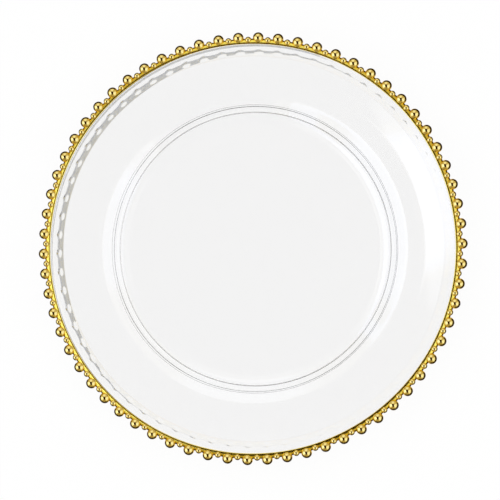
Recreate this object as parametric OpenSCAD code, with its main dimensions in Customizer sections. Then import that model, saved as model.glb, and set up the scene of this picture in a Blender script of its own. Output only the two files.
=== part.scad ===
/* [Plate] */
// Diameter over the large beads
overall_d = 330; // [300:1:360]
// Diameter of the well, at the corner where its floor meets the rise
well_d = 198; // [190:1:206]
// Share of the distance from the well to the rim band that the rise takes
rise_share = 0.325; // [0.28:0.005:0.36]
// Height of the rise
rise_h = 7.6; // [6:0.1:9]
// Share of the flange, beside the rise, that is nearly flat
shelf_share = 0.32; // [0.2:0.02:0.5]
// Height that the nearly flat part of the flange climbs
shelf_climb = 0.8; // [0.4:0.1:1.4]
// Height that the rest of the flange climbs to the rim
rim_climb = 5.7; // [4.5:0.1:6.5]
// Radius of the cove between the well floor and the rise
cove_r = 25; // [12:1:28]
// Radius of the break between the rise and the flange
break_r = 18; // [8:1:24]
// Radius of the bend between the two parts of the flange
bend_r = 40; // [20:5:60]

/* [Glass] */
// Thickness of the well floor
floor_t = 4; // [3:0.1:5]
// Thickness of the rise and flange, measured straight down
flange_t = 3.6; // [3.4:0.1:4.4]
// Thickness of the border beside the rim band
border_t = 8.9; // [8.2:0.1:9.4]
// Width of the border
border_w = 9.3; // [8.6:0.1:11]
// Width of the shoulder by which the underside drops to the border
border_slope_w = 5.2; // [4.6:0.1:5.6]
// Thickness of the tongue that the rim band grips
tongue_t = 3.2; // [3:0.1:3.6]

/* [Scallops] */
// Diameter of a scallop in the border's shoulder, one behind each large bead
scallop_d = 12; // [10.6:0.1:12.8]
// Height of a scallop over the border's underside
scallop_h = 2.2; // [1.6:0.1:2.6]

/* [Foot ring] */
// Share of the rise's width between the well and the foot ring
foot_share = 0.34; // [0.28:0.01:0.4]
// Width of the foot ring
foot_w = 4.5; // [3.5:0.1:6]
// Height of the well's underside over the table
foot_h = 1.2; // [0.8:0.1:2]
// Width of the draft on each side of the foot ring
foot_draft = 0.5; // [0.3:0.1:0.8]

/* [Rim band] */
// Width of the rim band in plan
band_w = 4.2; // [3.8:0.1:5]
// How far the lower lip stands back from the upper one
lip_setback = 1.1; // [0.8:0.1:1.4]
// Thickness of the band's two lips over and under the glass
lip_t = 0.6; // [0.5:0.05:0.8]
// Thickness of the band's web round the edge of the glass
web_t = 0.8; // [0.5:0.1:1.2]
// Radius of the band's rounded upper shoulder, between the beads
band_shoulder_r = 3.1; // [2:0.1:3.2]
// Radius of the band's lower outside corner
band_foot_r = 1.2; // [0.9:0.1:1.3]

/* [Beads] */
// Number of large beads, with as many small ones between them
bead_count = 66; // [48:1:70]
// Diameter of a large bead
large_bead_d = 8.2; // [7:0.1:8.8]
// Diameter of a small bead
small_bead_d = 4.8; // [4.4:0.1:5.4]
// How far the centres of the large beads stand out from the band
bead_overhang = 0.7; // [0.2:0.1:1.5]
// How far the small beads' centres lie inside the circle of the large ones
small_bead_inset = 1.7; // [1:0.1:2]
// Height of the large beads' centres over the middle of the band
bead_lift = 0.3; // [0:0.1:0.8]
// Height of the small beads' centres over those of the large ones
small_bead_lift = 0.9; // [0.4:0.1:1.2]
// Angle of the first large bead from the +X axis
first_bead_angle = 1.25; // [0:0.05:2.7]

/* [Fits] */
// Gap of the bond between the glass and the rim band, each side
bond_gap = 0.1; // [0.05:0.01:0.2]
// Gap between a bead and the seat that it is soldered to
seat_gap = 0.05; // [0.02:0.01:0.1]

/* [Hidden] */

// The rim, worked out inwards from the outside diameter
bead_circle_r = (overall_d - large_bead_d) / 2;
band_out_r = bead_circle_r - bead_overhang;
band_in_r = band_out_r - band_w;
lower_lip_r = band_in_r + lip_setback;
band_h = tongue_t + 2 * (bond_gap + lip_t);
groove_out_r = band_out_r - web_t;
glass_out_r = groove_out_r - bond_gap;

// The glass stands this far clear of the band's two lips
lip_clear = 0.5;
flange_end_r = band_in_r - lip_clear;
step_r = lower_lip_r - lip_clear;
border_in_r = band_in_r - border_w;

// Radii of the glass's other corners, in plan
well_r = well_d / 2;
rise_w = rise_share * (band_in_r - well_r);
rise_top_r = well_r + rise_w;
shelf_end_r = rise_top_r + shelf_share * (flange_end_r - rise_top_r);
foot_in_r = well_r + foot_share * rise_w;
foot_out_r = foot_in_r + foot_w;
// The underside turns up this much before the well floor does, and levels out as much after it
cove_lead = 3;
break_lag = 1;

// Heights above the table
floor_z = foot_h + floor_t;
rise_top_z = floor_z + rise_h;
shelf_end_z = rise_top_z + shelf_climb;
tongue_top_z = shelf_end_z + rim_climb;
tongue_low_z = tongue_top_z - tongue_t;
border_low_z = tongue_top_z - border_t;
band_low_z = tongue_low_z - bond_gap - lip_t;
band_top_z = band_low_z + band_h;
bead_z = band_low_z + band_h / 2 + bead_lift;

// Roundings left by the mould, and of the band's rolled lips
cove_low_r = 20;
break_low_r = 10;
bend_low_r = 30;
foot_round = 0.6;
shoulder_round_r = 1.2;
step_round = 0.5;
rim_round = 6;
lip_round = 0.45;

// The band's corners, the groove's and the tongue's follow each other, at most this share of the height
corner_share = 0.68;
band_round = min(band_shoulder_r, corner_share * band_h);
groove_round = band_round - lip_t;
tongue_round = groove_round - bond_gap;
groove_foot_round = band_foot_r - lip_t;
tongue_foot_round = groove_foot_round - bond_gap;

// Steps of a drawn arc: the longest chord, and the most that one step turns
arc_chord = 2.5;
arc_turn = 22.5;
// Sides of the round forms where they are shown as facets
plate_sides = 132;
ring_sides = 264;
ball_sides = 48;
// How far a cut runs past what it cuts
overrun = 1;

// Height between two corners of the section at a radius
function between(r, r_a, z_a, r_b, z_b) = z_a + (z_b - z_a) * (r - r_a) / (r_b - r_a);

// Height of the underside at a radius: the top face's, less the thickness
function low_z(r) =
    (r < rise_top_r ? between(r, well_r, floor_z, rise_top_r, rise_top_z) :
     r < shelf_end_r ? between(r, rise_top_r, rise_top_z, shelf_end_r, shelf_end_z) :
     between(r, shelf_end_r, shelf_end_z, flange_end_r, tongue_top_z)) - flange_t;

function unit(v) = v / norm(v);

// Points of the arc of radius r that rounds corner c, between its neighbours p and q
function corner_arc(p, c, q, r) =
    r == 0 ? [c] :
    let(
        u = unit(p - c),
        v = unit(q - c),
        half = acos(u * v) / 2,
        centre = c + unit(u + v) * r / sin(half),
        first = c + u * r / tan(half) - centre,
        last = c + v * r / tan(half) - centre,
        start = atan2(first[1], first[0]),
        turn = (atan2(last[1], last[0]) - start + 540) % 360 - 180,
        steps = ceil(max(abs(turn) / arc_turn, abs(turn) * PI / 180 * r / arc_chord))
    )
    [for (k = [0:steps]) centre + r * [cos(start + turn * k / steps), sin(start + turn * k / steps)]];

// An outline from corners given as [radius, height, rounding]
function rounded(corners) =
    let(
        n = len(corners),
        at = [for (c = corners) [c[0], c[1]]]
    )
    [for (i = [0:n - 1]) each corner_arc(at[(i + n - 1) % n], at[i], at[(i + 1) % n], corners[i][2])];

// Half section of the pressed glass, from the axis along the underside and back over the top
glass_corners = [
    [0, foot_h, 0],
    [well_r - cove_lead, foot_h, cove_low_r],
    [foot_in_r - foot_draft, low_z(foot_in_r - foot_draft), foot_round],
    [foot_in_r, 0, foot_round],
    [foot_out_r, 0, foot_round],
    [foot_out_r + foot_draft, low_z(foot_out_r + foot_draft), foot_round],
    [rise_top_r + break_lag, low_z(rise_top_r + break_lag), break_low_r],
    [shelf_end_r, low_z(shelf_end_r), bend_low_r],
    [border_in_r, low_z(border_in_r), shoulder_round_r],
    [border_in_r + border_slope_w, border_low_z, shoulder_round_r],
    [step_r, border_low_z, step_round],
    [step_r, tongue_low_z, step_round],
    [glass_out_r, tongue_low_z, tongue_foot_round],
    [glass_out_r, tongue_top_z, tongue_round],
    [flange_end_r, tongue_top_z, rim_round],
    [shelf_end_r, shelf_end_z, bend_r],
    [rise_top_r, rise_top_z, break_r],
    [well_r, floor_z, cove_r],
    [0, floor_z, 0]
];

// Outside of the band's section, or of the seat cut for it when it is grown by the seat's gap
function band_corners(grow) = [
    [lower_lip_r - grow, band_low_z - grow, lip_round + grow],
    [band_out_r + grow, band_low_z - grow, band_foot_r + grow],
    [band_out_r + grow, band_top_z + grow, band_round + grow],
    [band_in_r - grow, band_top_z + grow, lip_round + grow]
];

// Places something once behind each large bead, or half a step further on
module round_the_rim(circle_r, first_angle) {
    for (i = [0:bead_count - 1])
        rotate([0, 0, first_angle + 360 / bead_count * i])
            translate([circle_r, 0, 0])
                children();
}

// The balls whose dents scallop the border, each higher than a plain half ball would be
scallop_r = scallop_d / 2;
scallop_ball_r = (scallop_r * scallop_r + scallop_h * scallop_h) / (2 * scallop_h);

// The plate itself: well, rise, flange, scalloped border, tongue and foot ring in one pressing
module glass_plate() {
    color([0.86, 0.9, 0.9, 0.4])
        difference() {
            rotate_extrude($fn = plate_sides)
                polygon(rounded(glass_corners));
            round_the_rim(border_in_r, first_bead_angle)
                translate([0, 0, border_low_z + scallop_h - scallop_ball_r])
                    sphere(r = scallop_ball_r, $fn = ball_sides);
        }
}

// Groove of the band, open towards the plate's centre
groove_corners = [
    [band_in_r - overrun, tongue_low_z - bond_gap, 0],
    [groove_out_r, tongue_low_z - bond_gap, groove_foot_round],
    [groove_out_r, tongue_top_z + bond_gap, groove_round],
    [band_in_r - overrun, tongue_top_z + bond_gap, 0]
];

// A channel that wraps the edge of the glass and carries the beads
module rim_band() {
    color("gold")
        rotate_extrude($fn = ring_sides)
            difference() {
                polygon(rounded(band_corners(0)));
                polygon(rounded(groove_corners));
            }
}

// A ring of balls, each cut to sit astride the band
module seated_beads(ball_d, circle_r, centre_z, first_angle) {
    difference() {
        round_the_rim(circle_r, first_angle)
            translate([0, 0, centre_z])
                sphere(d = ball_d, $fn = ball_sides);
        rotate_extrude($fn = ring_sides)
            polygon(rounded(band_corners(seat_gap)));
    }
}

module large_beads() {
    color("goldenrod")
        seated_beads(large_bead_d, bead_circle_r, bead_z, first_bead_angle);
}

module small_beads() {
    color("khaki")
        seated_beads(small_bead_d, bead_circle_r - small_bead_inset, bead_z + small_bead_lift,
            first_bead_angle + 180 / bead_count);
}

glass_plate();
rim_band();
large_beads();
small_beads();
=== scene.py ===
import math

import bmesh
import bpy
from mathutils import Matrix, Vector


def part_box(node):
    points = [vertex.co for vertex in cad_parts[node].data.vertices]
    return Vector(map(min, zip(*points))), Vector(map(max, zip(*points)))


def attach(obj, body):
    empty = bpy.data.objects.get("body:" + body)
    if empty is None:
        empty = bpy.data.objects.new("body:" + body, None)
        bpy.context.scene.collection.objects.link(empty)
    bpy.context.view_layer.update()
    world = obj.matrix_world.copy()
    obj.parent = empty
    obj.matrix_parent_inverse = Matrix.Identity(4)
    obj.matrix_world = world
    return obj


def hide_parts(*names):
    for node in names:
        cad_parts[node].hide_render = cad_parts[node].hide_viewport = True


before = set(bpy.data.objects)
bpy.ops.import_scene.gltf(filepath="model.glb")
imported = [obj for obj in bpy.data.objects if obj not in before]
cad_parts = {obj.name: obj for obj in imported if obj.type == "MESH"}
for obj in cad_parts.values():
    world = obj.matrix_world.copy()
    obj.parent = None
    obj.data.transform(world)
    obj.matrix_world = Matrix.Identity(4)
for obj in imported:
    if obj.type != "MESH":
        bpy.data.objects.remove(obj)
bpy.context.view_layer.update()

# Glass plate
# One clear pressed-glass plate: a flat well, a rise, a wide flange and a thicker border whose
# shoulder is scalloped, one lobe behind each large bead. A thin tongue goes into the gilt band.
# It is pressed in one piece, stands on a narrow foot ring, and is fire-polished all over.
MM = 0.001                               # sizes are in millimetres, and Blender works in metres
_, glass_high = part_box("glass_plate")
GLASS_R = glass_high.x / MM              # edge of the tongue, inside the band
TONGUE_TOP = glass_high.z / MM
BEAD_COUNT = 66
FIRST_BEAD = math.radians(1.25)          # angle of the first large bead from +X
PITCH = math.tau / BEAD_COUNT

WELL_R = 99.0
WELL_T = 4.0
RISE_R = 117.55                          # where the rise meets the flange
RISE_H = 7.6
SHELF_R = 129.7                          # where the flange begins to climb faster
SHELF_CLIMB = 0.8
FLANGE_END_R = 155.5
FLANGE_T = 3.6                           # thickness of the rise and flange, straight down
FOOT_H = 1.2                             # the well's underside stands this high
FOOT_IN_R = 105.3
FOOT_OUT_R = 109.8
FOOT_DRAFT = 0.5
BORDER_R = 146.7                         # where the underside begins to drop to the border
BORDER_SLOPE_W = 5.2
BORDER_T = 8.5
STEP_R = 156.6                           # where the border ends and the tongue goes on alone
TONGUE_T = 3.2
SCALLOP_R = 6.0                          # a scallop in plan, at the border's underside
SCALLOP_H = 2.2
SCALLOP_CLEAR = 1.0                      # outer part of the border that the scallops leave whole
WELL_Z = FOOT_H + WELL_T
RISE_Z = WELL_Z + RISE_H
SHELF_Z = RISE_Z + SHELF_CLIMB
BORDER_Z = TONGUE_TOP - BORDER_T
TONGUE_LOW = TONGUE_TOP - TONGUE_T

COVE_R = 25                              # radii of the upper side's corners, from the well outwards
BREAK_R = 18
BEND_R = 40
FLANGE_ROUND = 6
TONGUE_ROUND = 2.3
COVE_LOW_R = 20                          # radii of the underside's corners
BREAK_LOW_R = 10
BEND_LOW_R = 30
FOOT_ROUND = 0.9
STEP_ROUND = 0.5
COVE_LEAD = 3                            # the lower cove starts this far inside the upper one
BREAK_LAG = 1                            # the lower break lies this far outside the upper one

ROUND_STEPS = 5                          # segments of each rounded corner
SCALLOP_STEPS = 14                       # points round the plate from one scallop to the next
FINE_GAP = 0.5                           # spacing of points across the flange's end and the border
FINE_FLANGE = 10                         # number of such points on the flange
FINE_BORDER = 8                          # and on the border
FINE_SLOPE = 12                          # parts of the slope between them
SAME = MM / 1000                         # points nearer than this, in metres, are one point


def plate_underside(r):
    """Height of the plate's underside at a radius: that of its top, less the thickness."""
    if r < RISE_R:
        top = WELL_Z + (RISE_Z - WELL_Z) * (r - WELL_R) / (RISE_R - WELL_R)
    elif r < SHELF_R:
        top = RISE_Z + (SHELF_Z - RISE_Z) * (r - RISE_R) / (SHELF_R - RISE_R)
    else:
        top = SHELF_Z + (TONGUE_TOP - SHELF_Z) * (r - SHELF_R) / (FLANGE_END_R - SHELF_R)
    return top - FLANGE_T


def select_points(piece, wanted):
    """In edit mode, selects the points whose place answers to wanted(place)."""
    mesh = bmesh.from_edit_mesh(piece.data)
    for part in (*mesh.verts, *mesh.edges, *mesh.faces):
        part.select = False
    for point in mesh.verts:
        point.select = wanted(point.co)
    mesh.select_flush(True)
    bmesh.update_edit_mesh(piece.data)


def turned_sector(name, corners, closed, steps, first=0.0, angle=PITCH):
    """Draws a half section from corners (radius, height, rounding) in mm, rounds it and spins it."""
    bpy.ops.object.select_all(action="DESELECT")
    bpy.ops.mesh.primitive_plane_add(size=MM)
    sector = bpy.context.object
    sector.name = sector.data.name = name
    places = [Vector((r, 0, z)) * MM for r, z, _ in corners]
    bpy.ops.object.mode_set(mode="EDIT")
    bpy.ops.mesh.merge(type="CENTER")
    bpy.ops.transform.translate(value=places[0])
    for start, end in zip(places, places[1:]):
        bpy.ops.mesh.extrude_region_move(TRANSFORM_OT_translate={"value": end - start})
    if closed:
        select_points(sector, lambda at: min((at - places[0]).length, (at - places[-1]).length) < SAME)
        bpy.ops.mesh.edge_face_add()
    for i, (_, _, rounding) in enumerate(corners):
        if rounding == 0:
            continue
        before = places[i - 1] - places[i]
        after = places[(i + 1) % len(places)] - places[i]
        reach = rounding * MM * math.tan((math.pi - before.angle(after)) / 2)
        select_points(sector, lambda at: (at - places[i]).length < SAME)
        bpy.ops.mesh.bevel(offset=reach, segments=ROUND_STEPS, affect="VERTICES")
    # Run from a script, rotate and spin both turn clockwise for a positive angle
    bpy.ops.mesh.select_all(action="SELECT")
    bpy.ops.transform.rotate(value=-first, orient_axis="Z", center_override=(0, 0, 0))
    bpy.ops.mesh.spin(steps=steps, angle=-angle, center=(0, 0, 0), axis=(0, 0, 1))
    bpy.ops.object.mode_set(mode="OBJECT")
    return sector


def repeat_round(piece, turn=0.0):
    """Repeats a piece round the plate, once for each large bead, and joins what meets."""
    copies = [piece]
    for i in range(1, BEAD_COUNT):
        copy = piece.copy()
        copy.data = piece.data.copy()
        copy.data.transform(Matrix.Rotation(turn + i * PITCH, 4, "Z"))
        bpy.context.scene.collection.objects.link(copy)
        copies.append(copy)
    piece.data.transform(Matrix.Rotation(turn, 4, "Z"))
    bpy.ops.object.select_all(action="DESELECT")
    for copy in copies:
        copy.select_set(True)
    bpy.context.view_layer.objects.active = piece
    bpy.ops.object.join()
    bpy.ops.object.mode_set(mode="EDIT")
    bpy.ops.mesh.select_all(action="SELECT")
    bpy.ops.mesh.remove_doubles(threshold=SAME)
    bpy.ops.mesh.normals_make_consistent(inside=False)
    bpy.ops.object.mode_set(mode="OBJECT")


# The underside's points lie close together from the flange's end outwards, for the scallops
slope_top = plate_underside(BORDER_R)
flange_radii = [BORDER_R - FINE_GAP * k for k in range(FINE_FLANGE, -1, -1)]
flange_points = [(r, plate_underside(r), 0) for r in flange_radii]
slope_points = [
    (
        BORDER_R + BORDER_SLOPE_W * k / FINE_SLOPE,
        slope_top + (BORDER_Z - slope_top) * k / FINE_SLOPE,
        0,
    )
    for k in range(1, FINE_SLOPE)
]
border_points = [(BORDER_R + BORDER_SLOPE_W + FINE_GAP * k, BORDER_Z, 0) for k in range(FINE_BORDER + 1)]
plate = turned_sector(
    "glass_charger",
    [
        (0, FOOT_H, 0),
        (WELL_R - COVE_LEAD, FOOT_H, COVE_LOW_R),
        (FOOT_IN_R - FOOT_DRAFT, plate_underside(FOOT_IN_R - FOOT_DRAFT), FOOT_ROUND),
        (FOOT_IN_R, 0, FOOT_ROUND),
        (FOOT_OUT_R, 0, FOOT_ROUND),
        (FOOT_OUT_R + FOOT_DRAFT, plate_underside(FOOT_OUT_R + FOOT_DRAFT), FOOT_ROUND),
        (RISE_R + BREAK_LAG, plate_underside(RISE_R + BREAK_LAG), BREAK_LOW_R),
        (SHELF_R, plate_underside(SHELF_R), BEND_LOW_R),
        *flange_points,
        *slope_points,
        *border_points,
        (STEP_R, BORDER_Z, STEP_ROUND),
        (STEP_R, TONGUE_LOW, STEP_ROUND),
        (GLASS_R, TONGUE_LOW, STEP_ROUND),
        (GLASS_R, TONGUE_TOP, TONGUE_ROUND),
        (FLANGE_END_R, TONGUE_TOP, FLANGE_ROUND),
        (SHELF_R, SHELF_Z, BEND_R),
        (RISE_R, RISE_Z, BREAK_R),
        (WELL_R, WELL_Z, COVE_R),
        (0, WELL_Z, 0),
    ],
    closed=False,
    steps=SCALLOP_STEPS,
    first=-PITCH / 2,
)

# Each scallop is the dent of a ball in the border's shoulder, here that of the sector's own bead
dent_r = (SCALLOP_R**2 + SCALLOP_H**2) / (2 * SCALLOP_H)
dent_z = BORDER_Z + SCALLOP_H - dent_r
for point in plate.data.vertices:
    away = math.hypot(point.co.x / MM - BORDER_R, point.co.y / MM)
    inside_step = math.hypot(point.co.x, point.co.y) < (STEP_R - SCALLOP_CLEAR) * MM
    below_tongue = point.co.z < (TONGUE_LOW - STEP_ROUND) * MM
    if away < dent_r and inside_step and below_tongue:
        point.co.z = max(point.co.z, (dent_z + math.sqrt(dent_r**2 - away**2)) * MM)
repeat_round(plate, FIRST_BEAD)
bpy.ops.object.shade_smooth_by_angle(angle=math.radians(30))


def srgb(code):
    """The linear colour of an sRGB hex value."""
    shares = [int(code[i:i + 2], 16) / 255 for i in (0, 2, 4)]
    return [s / 12.92 if s <= 0.04045 else ((s + 0.055) / 1.055) ** 2.4 for s in shares] + [1]


def add_node(tree, kind, inputs=None, **settings):
    """Adds a node with its settings. An input is a value, or an output to link from."""
    node = tree.nodes.new(kind)
    for setting, value in settings.items():
        setattr(node, setting, value)
    for socket, value in (inputs or {}).items():
        if isinstance(value, bpy.types.NodeSocket):
            tree.links.new(value, node.inputs[socket])
        else:
            node.inputs[socket].default_value = value
    return node


# Soda-lime glass, pressed and fire-polished: colourless and wet-looking, with a slow ripple left
# by the mould and finer marks where the glass chilled, so that highlights are not quite even.
GLASS_RIPPLE = 22
GLASS_RIPPLE_H = 0.15
GLASS_CHILL = 3
glass = bpy.data.materials.new("fire_polished_soda_lime_glass")
glass.use_nodes = True
tree = glass.node_tree
shader = tree.nodes["Principled BSDF"]
shader.inputs["Base Color"].default_value = srgb("FFFFFF")
shader.inputs["Transmission Weight"].default_value = 1
shader.inputs["IOR"].default_value = 1.5
place = add_node(tree, "ShaderNodeTexCoord").outputs["Object"]
ripple = add_node(
    tree, "ShaderNodeTexNoise", {"Vector": place, "Scale": 1 / (GLASS_RIPPLE * MM), "Detail": 1}
)
chill = add_node(
    tree, "ShaderNodeTexNoise", {"Vector": place, "Scale": 1 / (GLASS_CHILL * MM), "Detail": 2}
)
rough = add_node(
    tree,
    "ShaderNodeMapRange",
    {"Value": chill.outputs["Fac"], "From Min": 0.4, "From Max": 0.7, "To Min": 0.0, "To Max": 0.006},
)
wave = add_node(
    tree,
    "ShaderNodeBump",
    {"Strength": 0.15, "Distance": GLASS_RIPPLE_H * MM, "Height": ripple.outputs["Fac"]},
)
tree.links.new(rough.outputs["Result"], shader.inputs["Roughness"])
tree.links.new(wave.outputs["Normal"], shader.inputs["Normal"])
plate.data.materials.append(glass)
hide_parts("glass_plate")
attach(plate, "root")

# Rim band
# A gilt brass channel, rolled and closed round the edge of the glass. Its upper lip reaches
# further in than the lower one, and its outer shoulder is rounded off between the beads.
band_low, band_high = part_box("rim_band")
BAND_R = band_high.x / MM
BAND_TOP = band_high.z / MM
BAND_LOW = band_low.z / MM
BAND_W = 4.2
LIP_SETBACK = 1.1                        # how far the lower lip stands back from the upper one
LIP_T = 0.6
WEB_T = 0.8
SHOULDER_R = 3.6
BAND_FOOT_R = 1.2
UPPER_LIP_ROUND = 0.55
LOWER_LIP_ROUND = 0.4
BAND_IN_R = BAND_R - BAND_W
LOWER_LIP_R = BAND_IN_R + LIP_SETBACK
band = turned_sector(
    "gilt_channel",
    [
        (LOWER_LIP_R, BAND_LOW, LOWER_LIP_ROUND),
        (BAND_R, BAND_LOW, BAND_FOOT_R),
        (BAND_R, BAND_TOP, SHOULDER_R),
        (BAND_IN_R, BAND_TOP, UPPER_LIP_ROUND),
        (BAND_IN_R, BAND_TOP - LIP_T, 0),
        (BAND_R - WEB_T, BAND_TOP - LIP_T, SHOULDER_R - LIP_T),
        (BAND_R - WEB_T, BAND_LOW + LIP_T, BAND_FOOT_R - LIP_T),
        (LOWER_LIP_R, BAND_LOW + LIP_T, 0),
    ],
    closed=True,
    steps=8,
)
repeat_round(band)
bpy.ops.object.shade_smooth_by_angle(angle=math.radians(35))


def gilt(name, pale, edge, rough_low, rough_high, wave_w, wave_h):
    """Gold plated on brass: a metal whose colour and sheen waver with the plating, sizes in mm."""
    metal = bpy.data.materials.new(name)
    metal.use_nodes = True
    tree = metal.node_tree
    shader = tree.nodes["Principled BSDF"]
    shader.inputs["Metallic"].default_value = 1
    shader.inputs["Specular Tint"].default_value = srgb(edge)
    place = add_node(tree, "ShaderNodeTexCoord").outputs["Object"]
    cloud = add_node(
        tree, "ShaderNodeTexNoise", {"Vector": place, "Scale": 1 / (wave_w * MM), "Detail": 2}
    ).outputs["Fac"]
    tint = add_node(
        tree,
        "ShaderNodeMix",
        {"Factor": cloud, "A": srgb(pale[0]), "B": srgb(pale[1])},
        data_type="RGBA",
    )
    sheen = add_node(
        tree,
        "ShaderNodeMapRange",
        {"Value": cloud, "From Min": 0.3, "From Max": 0.7, "To Min": rough_low, "To Max": rough_high},
    )
    wave = add_node(tree, "ShaderNodeBump", {"Strength": 0.3, "Distance": wave_h * MM, "Height": cloud})
    tree.links.new(tint.outputs["Result"], shader.inputs["Base Color"])
    tree.links.new(sheen.outputs["Result"], shader.inputs["Roughness"])
    tree.links.new(wave.outputs["Normal"], shader.inputs["Normal"])
    return metal


# Polished gold plate, deep yellow with brown shadows, a little uneven where it was burnished
band.data.materials.append(
    gilt("burnished_gold_plate", ("FFE662", "FDE058"), "D8A840", 0.18, 0.23, wave_w=6, wave_h=0.02)
)
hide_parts("rim_band")
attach(band, "root")

# Beads
# Solid brass balls, large and small by turns, gold plated. Each is notched to sit astride the
# band and soldered there, so that most of a large ball stands outside the rim.
LARGE_D = 8.2
LARGE_CIRCLE_R = 160.9                   # circle on which the large balls' centres lie
LARGE_DROP = 1.3                         # their centres' depth below the top of the glass
SMALL_D = 4.8
SMALL_CIRCLE_R = 159.2
SMALL_DROP = 0.4
BALL_SIDES = 32
SEAT_GAP = 0.05
SEAT_ROUND = 0.45
SEAT_SPAN = math.radians(8)              # a cutter wider than the largest ball

# Bright gold plate over polished brass: a clear mirror, pale where it shines and brown at the edge
bead_plate = gilt(
    "bright_gold_plate", ("FFE88E", "FCE187"), "C89838", 0.03, 0.06, wave_w=3, wave_h=0.01
)
for kind, cad_node, ball_d, circle_r, drop, first in (
    ("large", "large_beads", LARGE_D, LARGE_CIRCLE_R, LARGE_DROP, FIRST_BEAD),
    ("small", "small_beads", SMALL_D, SMALL_CIRCLE_R, SMALL_DROP, FIRST_BEAD + PITCH / 2),
):
    seat = turned_sector(
        kind + "_seat",
        [
            (LOWER_LIP_R - SEAT_GAP, BAND_LOW - SEAT_GAP, SEAT_ROUND),
            (BAND_R + SEAT_GAP, BAND_LOW - SEAT_GAP, BAND_FOOT_R),
            (BAND_R + SEAT_GAP, BAND_TOP + SEAT_GAP, SHOULDER_R),
            (BAND_IN_R - SEAT_GAP, BAND_TOP + SEAT_GAP, SEAT_ROUND),
        ],
        closed=True,
        steps=16,
        first=-SEAT_SPAN / 2,
        angle=SEAT_SPAN,
    )
    bpy.ops.object.mode_set(mode="EDIT")
    bpy.ops.mesh.select_all(action="DESELECT")
    bpy.ops.mesh.select_non_manifold()
    bpy.ops.mesh.edge_face_add()
    bpy.ops.mesh.select_all(action="SELECT")
    bpy.ops.mesh.normals_make_consistent(inside=False)
    bpy.ops.object.mode_set(mode="OBJECT")
    bpy.ops.object.select_all(action="DESELECT")
    bpy.ops.mesh.primitive_uv_sphere_add(
        segments=BALL_SIDES,
        ring_count=BALL_SIDES // 2,
        radius=ball_d / 2 * MM,
        location=(circle_r * MM, 0, (TONGUE_TOP - drop) * MM),
    )
    bead = bpy.context.object
    bpy.ops.object.transform_apply(location=True, rotation=True, scale=True)
    notch = bead.modifiers.new("notch", "BOOLEAN")
    notch.operation = "DIFFERENCE"
    notch.object = seat
    bpy.ops.object.modifier_apply(modifier=notch.name)
    bpy.data.objects.remove(seat)
    bpy.ops.object.shade_smooth_by_angle(angle=math.radians(30))
    bead.data.materials.append(bead_plate)
    repeat_round(bead, first)
    bead.name = bead.data.name = kind + "_gilt_balls"
    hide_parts(cad_node)
    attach(bead, "root")

# Table top
# A matt white laminate. Where the camera, the gold or the glass shows it, most of its white is
# its own, so that it stays as pale as a light table, and the rest is real light and shade.
TABLE_W = 12000
TABLE_Z = -0.02                          # just under the foot ring
WHITE_SHARE = 0.93
bpy.ops.mesh.primitive_plane_add(size=TABLE_W * MM, location=(0, 0, TABLE_Z * MM))
table = bpy.context.object
table.name = "table_top"
laminate = bpy.data.materials.new("matt_white_laminate")
laminate.use_nodes = True
tree = laminate.node_tree
tree.nodes.remove(tree.nodes["Principled BSDF"])
ray = add_node(tree, "ShaderNodeLightPath").outputs
seen = ray["Is Camera Ray"]
for sight in ("Is Glossy Ray", "Is Transmission Ray"):
    seen = add_node(tree, "ShaderNodeMath", {0: seen, 1: ray[sight]}, operation="MAXIMUM").outputs[0]
share = add_node(tree, "ShaderNodeMath", {0: seen, 1: WHITE_SHARE}, operation="MULTIPLY")
matt = add_node(tree, "ShaderNodeBsdfDiffuse", {"Color": srgb("FDFDFD")})
glow = add_node(tree, "ShaderNodeEmission", {"Color": srgb("FFFFFF"), "Strength": 1.0})
mixed = add_node(tree, "ShaderNodeMixShader", {0: share.outputs[0], 1: matt.outputs[0], 2: glow.outputs[0]})
tree.links.new(mixed.outputs[0], tree.nodes["Material Output"].inputs["Surface"])
table.data.materials.append(laminate)

# Dark card round the plate
# An olive card with a round hole lies round the plate, out of the camera's sight. Only polished
# surfaces show it, as the dark lower limb of each ball.
CARD_IN_R = 167.0
CARD_OUT_R = 900.0
CARD_Z = 0.2
CARD_T = 0.2


def card_ring(name, in_r, out_r, low, board, code):
    """Cuts a flat ring from card of one matt colour, lying at a height above the table."""
    ring = turned_sector(
        name,
        [(in_r, low, 0), (out_r, low, 0), (out_r, low + CARD_T, 0), (in_r, low + CARD_T, 0)],
        closed=True,
        steps=2,
    )
    repeat_round(ring)
    material = bpy.data.materials.new(board)
    material.use_nodes = True
    shader = material.node_tree.nodes["Principled BSDF"]
    shader.inputs["Base Color"].default_value = srgb(code)
    shader.inputs["Specular IOR Level"].default_value = 0
    ring.data.materials.append(material)
    ring.visible_camera = False
    ring.visible_diffuse = False
    ring.visible_shadow = False
    return ring


card = card_ring("olive_card", CARD_IN_R, CARD_OUT_R, CARD_Z, "olive_mount_board", "3E3412")
card.visible_transmission = False

# Shaded ring under the rim
# A ring of plain white card lies under the rim, a little off centre. Only the glass shows it,
# in the shade that the rim really casts, and so the scalloped border looks grey on that side.
SHADED_IN_R = 157.6
SHADED_OUT_R = 167.0
SHADED_Z = 0.1
SHADED_OFF = Vector((-0.8, -1.2, 0))
shaded = card_ring("white_ring", SHADED_IN_R, SHADED_OUT_R, SHADED_Z, "matt_white_card", "ECEFF6")
shaded.data.transform(Matrix.Translation(SHADED_OFF * MM))
shaded.visible_glossy = False

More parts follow.
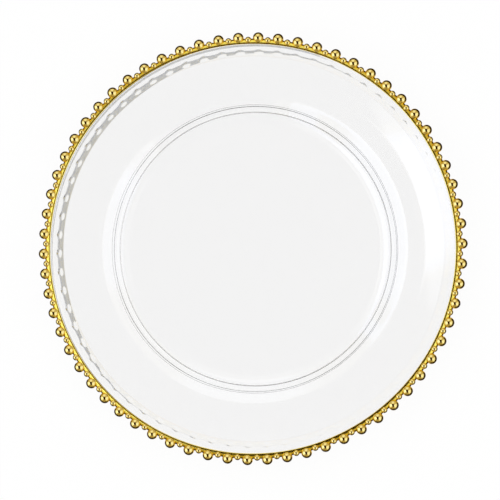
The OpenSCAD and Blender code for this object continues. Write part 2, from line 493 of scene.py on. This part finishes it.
# Studio
# Large softboxes stand to the left, right and top of the plate, with dimmer walls between them.
# Straight above is a dark opening, where the camera looks through, with a narrow strip light
# on its left. Dim parts are warm and bright ones cool, for brown shadows and pale highlights.
WALL = 0.69
SOFTBOXES = (                            # middle and half width in degrees, and level over the wall's
    ("right", 352, 30, 0.7),
    ("top", 97, 25, 0.59),
    ("left", 190, 30, 0.98),
    ("low right", 315, 20, 0.4),
    ("low", 265, 30, -0.25),             # not a light but a darker stretch of wall
)
BOX_EDGE = 7.0                           # degrees over which a softbox fades
OPENING = ((1, 0.316, 0.575), (-1, 0, 0.41), (0, -1, 0.5), (0, 1, 0.93))    # inward from each edge
OPENING_EDGE = 0.02
OPENING_LEVEL = 0.04
STRIP_LEVEL = 0.97
STRIP_W = 0.19                           # distance from the opening's left edge to its outer one
STRIP_RUN = (0, 1, 0.18)                 # direction in which the strip light runs
STRIP_HALF = 0.52
STRIP_RIGHT_X = -0.3                     # the strip light stays left of this
DUSK = (-0.02, 0.2)                      # heights between which the light fades out
DUSK_LEVEL = 0.08
PLAIN = 1.0                              # level at which matt surfaces are lit
TONES = ((0, "FFAE30"), (0.22, "F8E093"), (1, "DAE4FF"))
TOP_LEVEL = 1.52                         # level that has the last of these tones
PANE_TONE = "B8B8B8"                     # of the room as seen through the glass, in place of the tones
world = bpy.data.worlds.new("studio")
bpy.context.scene.world = world
world.use_nodes = True
tree = world.node_tree
towards = add_node(tree, "ShaderNodeTexCoord").outputs["Generated"]
axes = add_node(tree, "ShaderNodeSeparateXYZ", {0: towards}).outputs
azimuth = add_node(tree, "ShaderNodeTexGradient", {"Vector": towards}, gradient_type="RADIAL").outputs["Fac"]
light = WALL
for name, middle, half, level in SOFTBOXES:
    # How far round from the softbox's middle, as a share of a turn from 0 to 0.5
    around = add_node(
        tree, "ShaderNodeMath", {0: azimuth, 1: middle / 360 + 0.5}, operation="SUBTRACT"
    ).outputs[0]
    for fold in (1.0, 0.5):
        around = add_node(tree, "ShaderNodeMath", {0: around, 1: fold}, operation="PINGPONG").outputs[0]
    glow = add_node(
        tree,
        "ShaderNodeMapRange",
        {
            "Value": around,
            "From Min": (half - BOX_EDGE) / 360,
            "From Max": (half + BOX_EDGE) / 360,
            "To Min": level,
            "To Max": 0.0,
        },
        interpolation_type="SMOOTHSTEP",
        label=name,
    ).outputs["Result"]
    light = add_node(tree, "ShaderNodeMath", {0: light, 1: glow}, operation="ADD").outputs[0]

# The opening has four straight edges, each a plane through the plate's centre
opening = 1.0
from_edges = []
for edge in OPENING:
    side = add_node(tree, "ShaderNodeVectorMath", {0: towards, 1: edge}, operation="DOT_PRODUCT")
    from_edges.append(side.outputs["Value"])
    inside = add_node(
        tree,
        "ShaderNodeMapRange",
        {"Value": from_edges[-1], "From Min": -OPENING_EDGE, "From Max": OPENING_EDGE},
        interpolation_type="SMOOTHSTEP",
    ).outputs["Result"]
    opening = add_node(tree, "ShaderNodeMath", {0: opening, 1: inside}, operation="MULTIPLY").outputs[0]

# The strip light runs along the first of them
past = add_node(
    tree,
    "ShaderNodeMapRange",
    {"Value": from_edges[0], "From Min": -STRIP_W - OPENING_EDGE, "From Max": -STRIP_W + OPENING_EDGE},
    interpolation_type="SMOOTHSTEP",
).outputs["Result"]
along = add_node(tree, "ShaderNodeVectorMath", {0: towards, 1: STRIP_RUN}, operation="DOT_PRODUCT")
along = add_node(tree, "ShaderNodeMath", {0: along.outputs["Value"]}, operation="ABSOLUTE").outputs[0]
strip = add_node(
    tree,
    "ShaderNodeMapRange",
    {
        "Value": along,
        "From Min": STRIP_HALF - OPENING_EDGE,
        "From Max": STRIP_HALF + OPENING_EDGE,
        "To Min": STRIP_LEVEL,
        "To Max": 0.0,
    },
    interpolation_type="SMOOTHSTEP",
).outputs["Result"]
on_left = add_node(tree, "ShaderNodeMath", {0: axes["X"], 1: STRIP_RIGHT_X}, operation="LESS_THAN").outputs[0]
for part in (past, on_left):
    strip = add_node(tree, "ShaderNodeMath", {0: strip, 1: part}, operation="MULTIPLY").outputs[0]
light = add_node(tree, "ShaderNodeMath", {0: light, 1: strip}, operation="ADD").outputs[0]

# What mirrors see: all this light, shaded in the opening and fading out at the table's height
shade = add_node(
    tree, "ShaderNodeMapRange", {"Value": opening, "To Min": 1.0, "To Max": OPENING_LEVEL}
).outputs["Result"]
dusk = add_node(
    tree,
    "ShaderNodeMapRange",
    {"Value": axes["Z"], "From Min": DUSK[0], "From Max": DUSK[1], "To Min": DUSK_LEVEL, "To Max": 1.0},
    interpolation_type="SMOOTHSTEP",
).outputs["Result"]
mirrored = light
for part in (shade, dusk):
    mirrored = add_node(tree, "ShaderNodeMath", {0: mirrored, 1: part}, operation="MULTIPLY").outputs[0]
share = add_node(tree, "ShaderNodeMapRange", {"Value": mirrored, "From Max": TOP_LEVEL}).outputs["Result"]
tone = add_node(tree, "ShaderNodeValToRGB", {0: share})
tone.color_ramp.elements.new(TONES[1][0])
for stop, (at, code) in zip(tone.color_ramp.elements, TONES):
    stop.position = at
    stop.color = srgb(code)

# Through the glass the room is plain grey, and matt surfaces are lit plain white from all sides
ray = add_node(tree, "ShaderNodeLightPath").outputs
matt_seen = add_node(
    tree, "ShaderNodeMath", {0: ray["Diffuse Depth"], 1: 0.5}, operation="GREATER_THAN"
).outputs[0]
strength = add_node(
    tree, "ShaderNodeMix", {"Factor": matt_seen, "A": mirrored, "B": PLAIN}
).outputs["Result"]
color = tone.outputs["Color"]
for factor, code in ((ray["Is Transmission Ray"], PANE_TONE), (matt_seen, "FFFFFF")):
    color = add_node(
        tree, "ShaderNodeMix", {"Factor": factor, "A": color, "B": srgb(code)}, data_type="RGBA"
    ).outputs["Result"]
tree.links.new(strength, tree.nodes["Background"].inputs["Strength"])
tree.links.new(color, tree.nodes["Background"].inputs["Color"])
world.cycles.sampling_method = "NONE"    # so that the plain level reaches every matt surface

# Camera
# It looks almost straight down from a long way off, tipped a little towards the plate's right.
CAMERA_AT = Vector((1667.8, -229.7, 12000.0)) * MM
CAMERA_AIM = Vector((-2.9, -0.9, 13.0)) * MM
VIEW_W = 381.1 * MM                      # what the picture takes in at the plate
SENSOR_W = 36
camera = bpy.data.objects.new("camera", bpy.data.cameras.new("camera"))
bpy.context.scene.collection.objects.link(camera)
back = (CAMERA_AT - CAMERA_AIM).normalized()
right = Vector((0, 1, 0)).cross(back).normalized()
turn = Matrix((right, back.cross(right), back)).transposed().to_4x4()
camera.matrix_world = Matrix.Translation(CAMERA_AT) @ turn
camera.data.sensor_width = SENSOR_W
camera.data.lens = SENSOR_W * (CAMERA_AT - CAMERA_AIM).length / VIEW_W
camera.data.clip_end = 100               # metres
bpy.context.scene.camera = camera
bpy.context.scene.view_settings.view_transform = "Standard"

bpy.context.view_layer.update()
